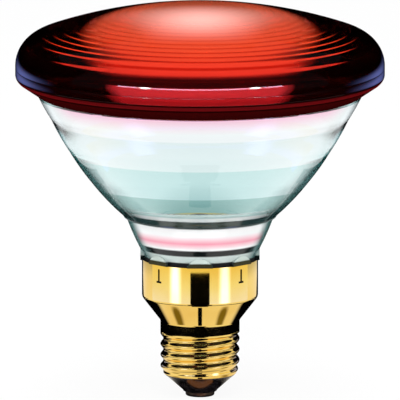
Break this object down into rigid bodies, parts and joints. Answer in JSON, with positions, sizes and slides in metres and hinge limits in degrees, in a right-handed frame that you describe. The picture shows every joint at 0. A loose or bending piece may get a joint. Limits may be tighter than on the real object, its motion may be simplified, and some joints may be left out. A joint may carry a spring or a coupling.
{
  "type": "infrared heat lamp bulb",
  "caption": "Sealed reflector heat lamp: red domed glass lens with pressed rings on a silvered pressed glass bowl, with a skirted brass screw cap.",
  "frame": {"origin": "middle of the contact face at the bottom of the screw cap", "axes": "+Z along the lamp's axis from the cap to the lens, +X along the filament"},
  "size_m": [0.122, 0.122, 0.1304],
  "materials": {
    "red_glass": "clear red, fire polished",
    "silvered_glass": "clear glass, silvered inside",
    "polished_brass": "mirror polished",
    "black_glass": "glossy black",
    "dark_brass": "darkened, worn",
    "solder": "dull",
    "nickel_iron": "satin",
    "tungsten": "drawn wire"
  },
  "bodies": {
    "root": {"lens": "red_glass", "reflector_bowl": "silvered_glass", "cap_shell": "polished_brass", "cap_insulator": "black_glass", "centre_contact": "dark_brass", "contact_solder": "solder", "shell_solder": "solder", "ferrule_left": "nickel_iron", "ferrule_right": "nickel_iron", "lead_post_left": "nickel_iron", "lead_post_right": "nickel_iron", "contact_lead_wire": "nickel_iron", "shell_lead_wire": "nickel_iron", "filament": "tungsten"}
  },
  "joints": []
}
